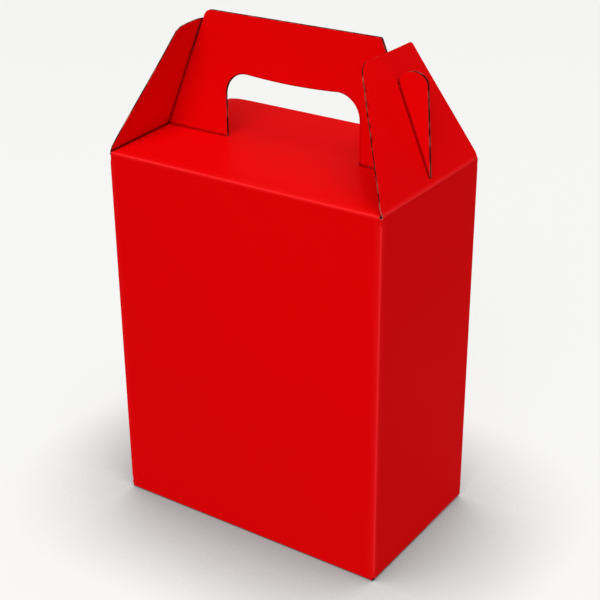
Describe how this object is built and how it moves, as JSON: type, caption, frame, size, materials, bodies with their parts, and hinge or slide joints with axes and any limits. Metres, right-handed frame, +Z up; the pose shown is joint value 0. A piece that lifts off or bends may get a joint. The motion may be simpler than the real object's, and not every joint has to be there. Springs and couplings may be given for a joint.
{
  "type": "briefcase favour box",
  "caption": "Upright card favour box shaped like a small briefcase, with a flat roof, a twin-leaf carrying handle and slotted end flaps that hook over the handle's ears.",
  "frame": {"origin": "middle of the bottom face that the box stands on", "axes": "+Z up through the handle, -Y out of the broad front wall, X along the handle between the two end flaps"},
  "size_m": [0.12, 0.07, 0.2],
  "materials": {
    "red_card": "smooth satin card, dyed red on both faces, with a thin greyish core at its cut edges"
  },
  "bodies": {
    "carton": {"carton": "red_card"},
    "end_flap_right": {"end_flap_right": "red_card"},
    "end_flap_left": {"end_flap_left": "red_card"}
  },
  "joints": [
    {"name": "end_flap_right_crease", "type": "hinge", "parent": "carton", "child": "end_flap_right", "pos_m": [0.06, 0, 0.15], "axis": [0, 1, 0], "range_deg": [0, 195]},
    {"name": "end_flap_left_crease", "type": "hinge", "parent": "carton", "child": "end_flap_left", "pos_m": [-0.06, 0, 0.15], "axis": [0, -1, 0], "range_deg": [0, 195]}
  ]
}
